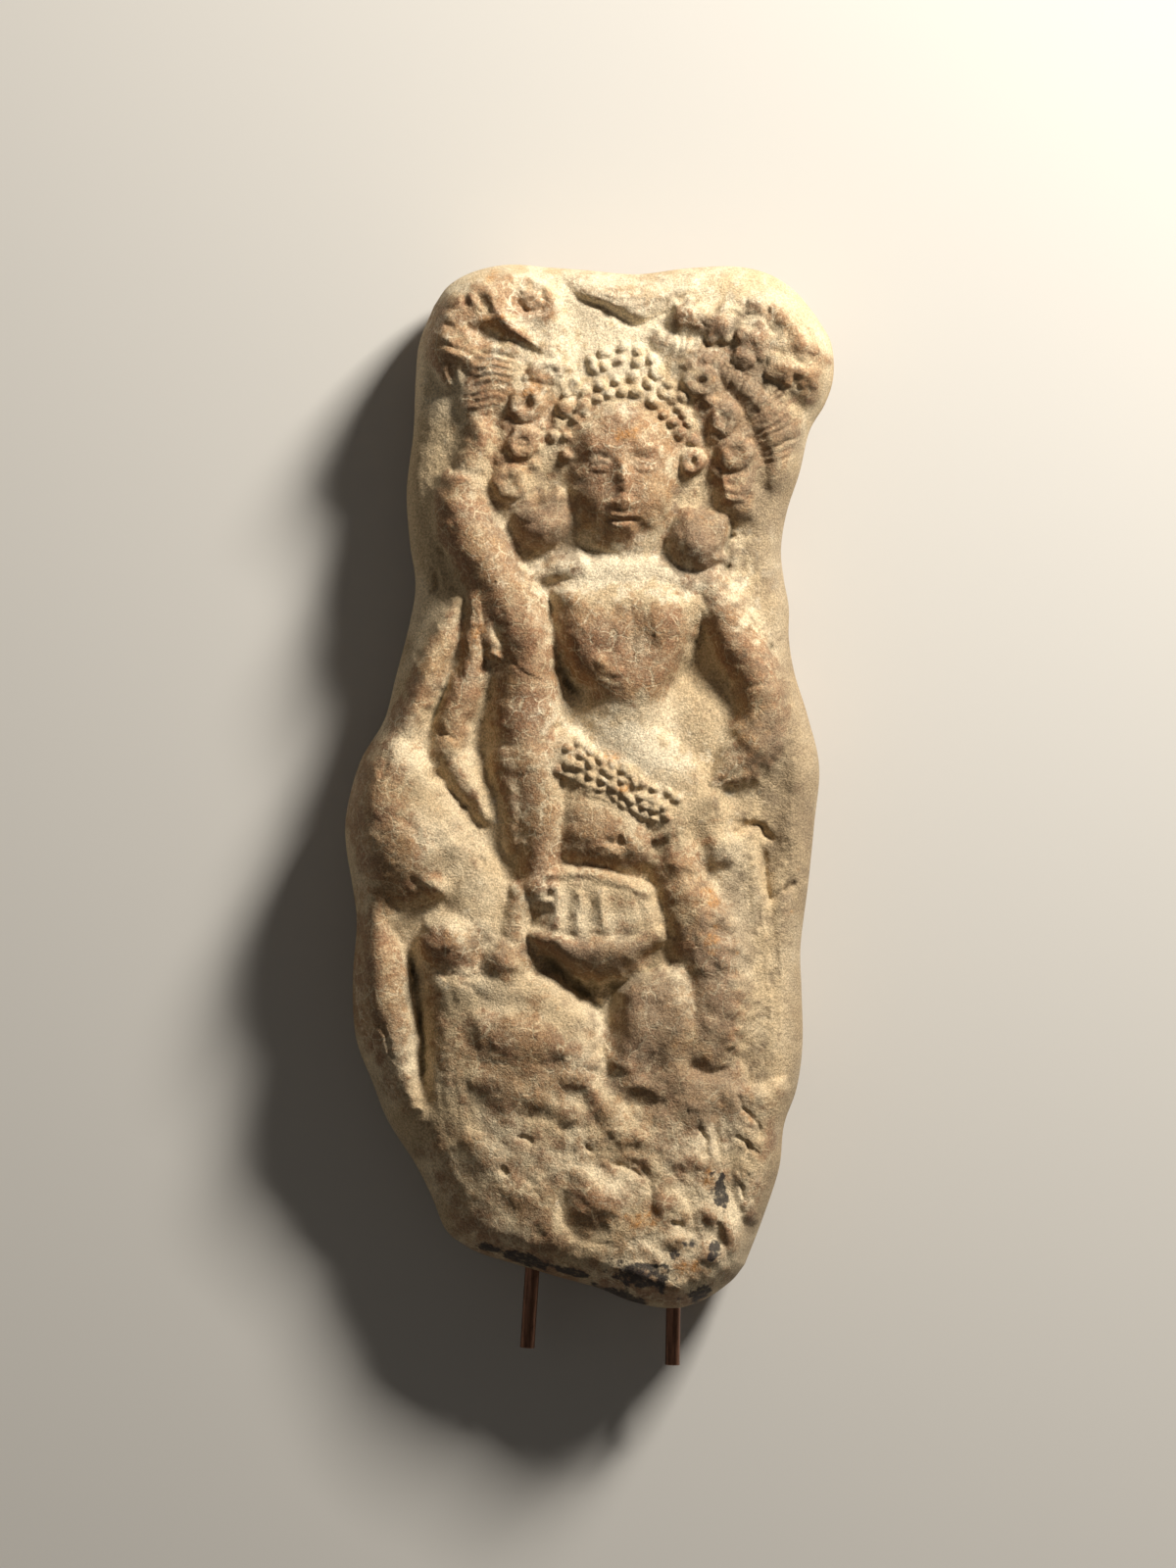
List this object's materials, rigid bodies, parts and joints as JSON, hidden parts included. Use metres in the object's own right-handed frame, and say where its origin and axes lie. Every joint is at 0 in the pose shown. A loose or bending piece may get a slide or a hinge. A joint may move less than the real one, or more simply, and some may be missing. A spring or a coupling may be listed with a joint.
{
  "type": "terracotta relief plaque",
  "caption": "Small fired-clay plaque with worn figures in high relief on the front, a flat back, and two short metal pegs in its lower end for a stand.",
  "frame": {"origin": "on the plane of the flat back, under the middle of the bounding box of plaque and pegs", "axes": "+Y towards the top of the plaque, +Z out of the carved front, +X towards the right side as seen from the front"},
  "size_m": [0.0998, 0.2245, 0.0342],
  "materials": {
    "terracotta": "matt fired clay, worn red-brown on the high places, with pale clay deposit in the hollows",
    "peg_metal": "dark copper-brown drawn rod with fine lengthwise scratches"
  },
  "bodies": {
    "root": {"plaque": "terracotta", "left_peg": "peg_metal", "right_peg": "peg_metal"}
  },
  "joints": []
}
